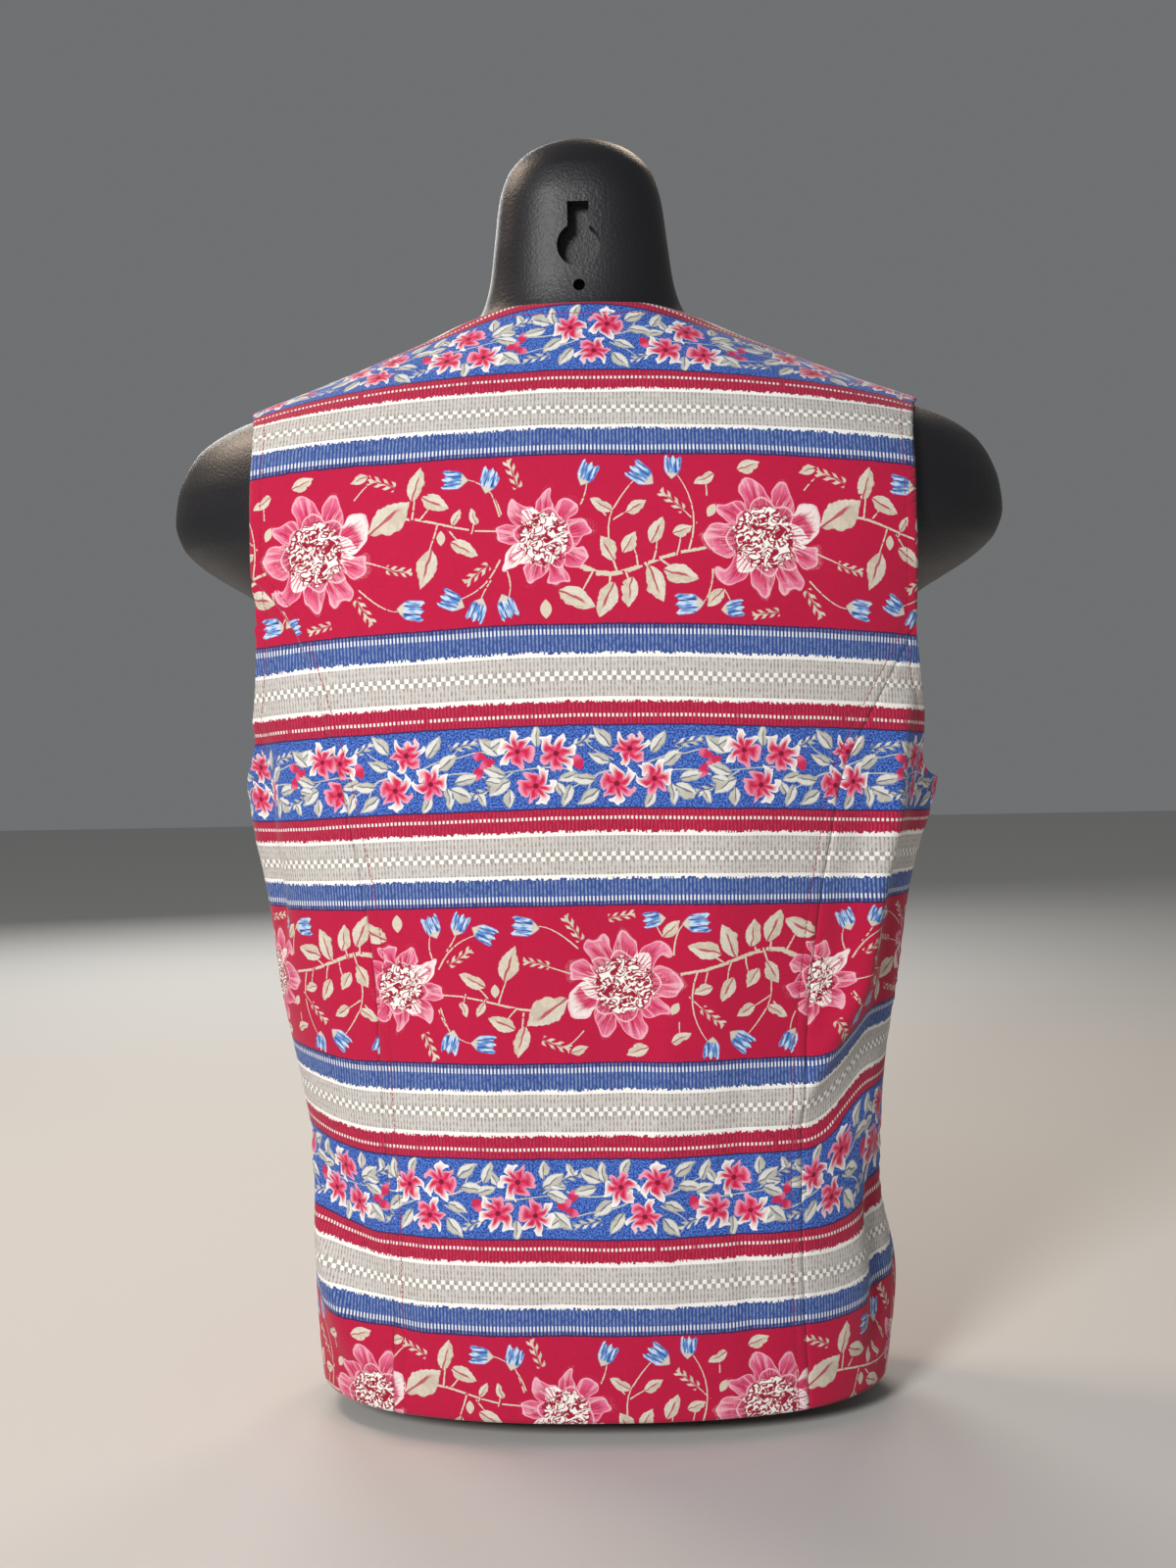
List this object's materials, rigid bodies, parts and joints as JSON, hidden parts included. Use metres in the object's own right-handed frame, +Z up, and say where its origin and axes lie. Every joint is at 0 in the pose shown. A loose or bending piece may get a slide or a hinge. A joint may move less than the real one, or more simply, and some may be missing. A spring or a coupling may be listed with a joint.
{
  "type": "sleeveless vest on a limbless torso display form",
  "caption": "Sleeveless cotton vest, buttoned in front, worn by a smooth limbless torso form that stands on a flat base and has a hanging slot in its neck.",
  "frame": {"origin": "on the form's flat base, in its middle plane", "axes": "+Z up, -Y the way the back of the vest faces, +Y its buttoned front, +X the wearer's right"},
  "size_m": [0.462, 0.2632, 0.708],
  "materials": {
    "form": "satin, finely textured",
    "cloth": "printed cotton twill",
    "button": "polished"
  },
  "bodies": {
    "root": {"torso_form": "form", "back_centre": "cloth", "back_side_right": "cloth", "back_side_left": "cloth", "front_right": "cloth", "front_left": "cloth", "button_1": "button", "button_2": "button", "button_3": "button", "button_4": "button", "button_5": "button"}
  },
  "joints": []
}
